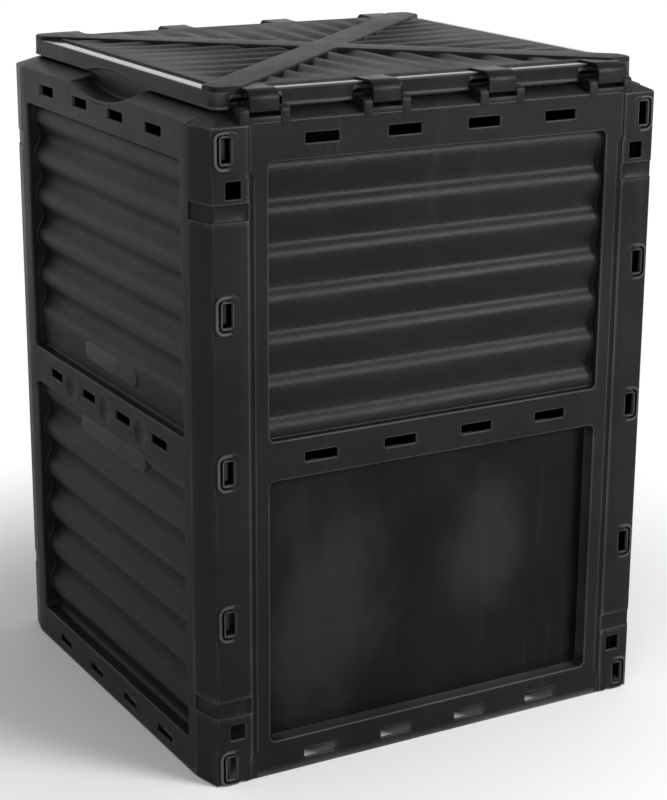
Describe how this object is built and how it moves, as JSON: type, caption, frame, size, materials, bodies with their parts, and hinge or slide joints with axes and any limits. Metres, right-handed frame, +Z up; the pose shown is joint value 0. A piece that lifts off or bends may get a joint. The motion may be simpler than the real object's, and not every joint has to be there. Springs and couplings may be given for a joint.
{
  "type": "compost bin",
  "caption": "Square garden compost bin of snap-together plastic walls with sliding hatches at the foot and a flat lid hinged along its front edge.",
  "frame": {"origin": "centre of the footprint on the ground", "axes": "+Z up, -Y towards the front wall that carries the lid's hinge, +X to the right seen from the front"},
  "size_m": [0.61, 0.576, 0.8145],
  "materials": {
    "wall_plastic": "satin near-black moulded polypropylene",
    "hatch_plastic": "smoother satin near-black polypropylene sheet",
    "lid_plastic": "satin near-black moulded polypropylene"
  },
  "bodies": {
    "shell": {"front_wall": "wall_plastic", "back_wall": "wall_plastic", "left_wall": "wall_plastic", "right_wall": "wall_plastic"},
    "lid": {"lid": "lid_plastic"},
    "front_hatch": {"front_hatch": "hatch_plastic"},
    "back_hatch": {"back_hatch": "hatch_plastic"}
  },
  "joints": [
    {"name": "lid_hinge", "type": "hinge", "parent": "shell", "child": "lid", "pos_m": [0, -0.277, 0.793], "axis": [1, 0, 0], "range_deg": [0, 98]},
    {"name": "front_hatch_slide", "type": "slide", "parent": "shell", "child": "front_hatch", "axis": [0, 0, 1], "range_m": [0, 0.3]},
    {"name": "back_hatch_slide", "type": "slide", "parent": "shell", "child": "back_hatch", "axis": [0, 0, 1], "range_m": [0, 0.3]}
  ]
}
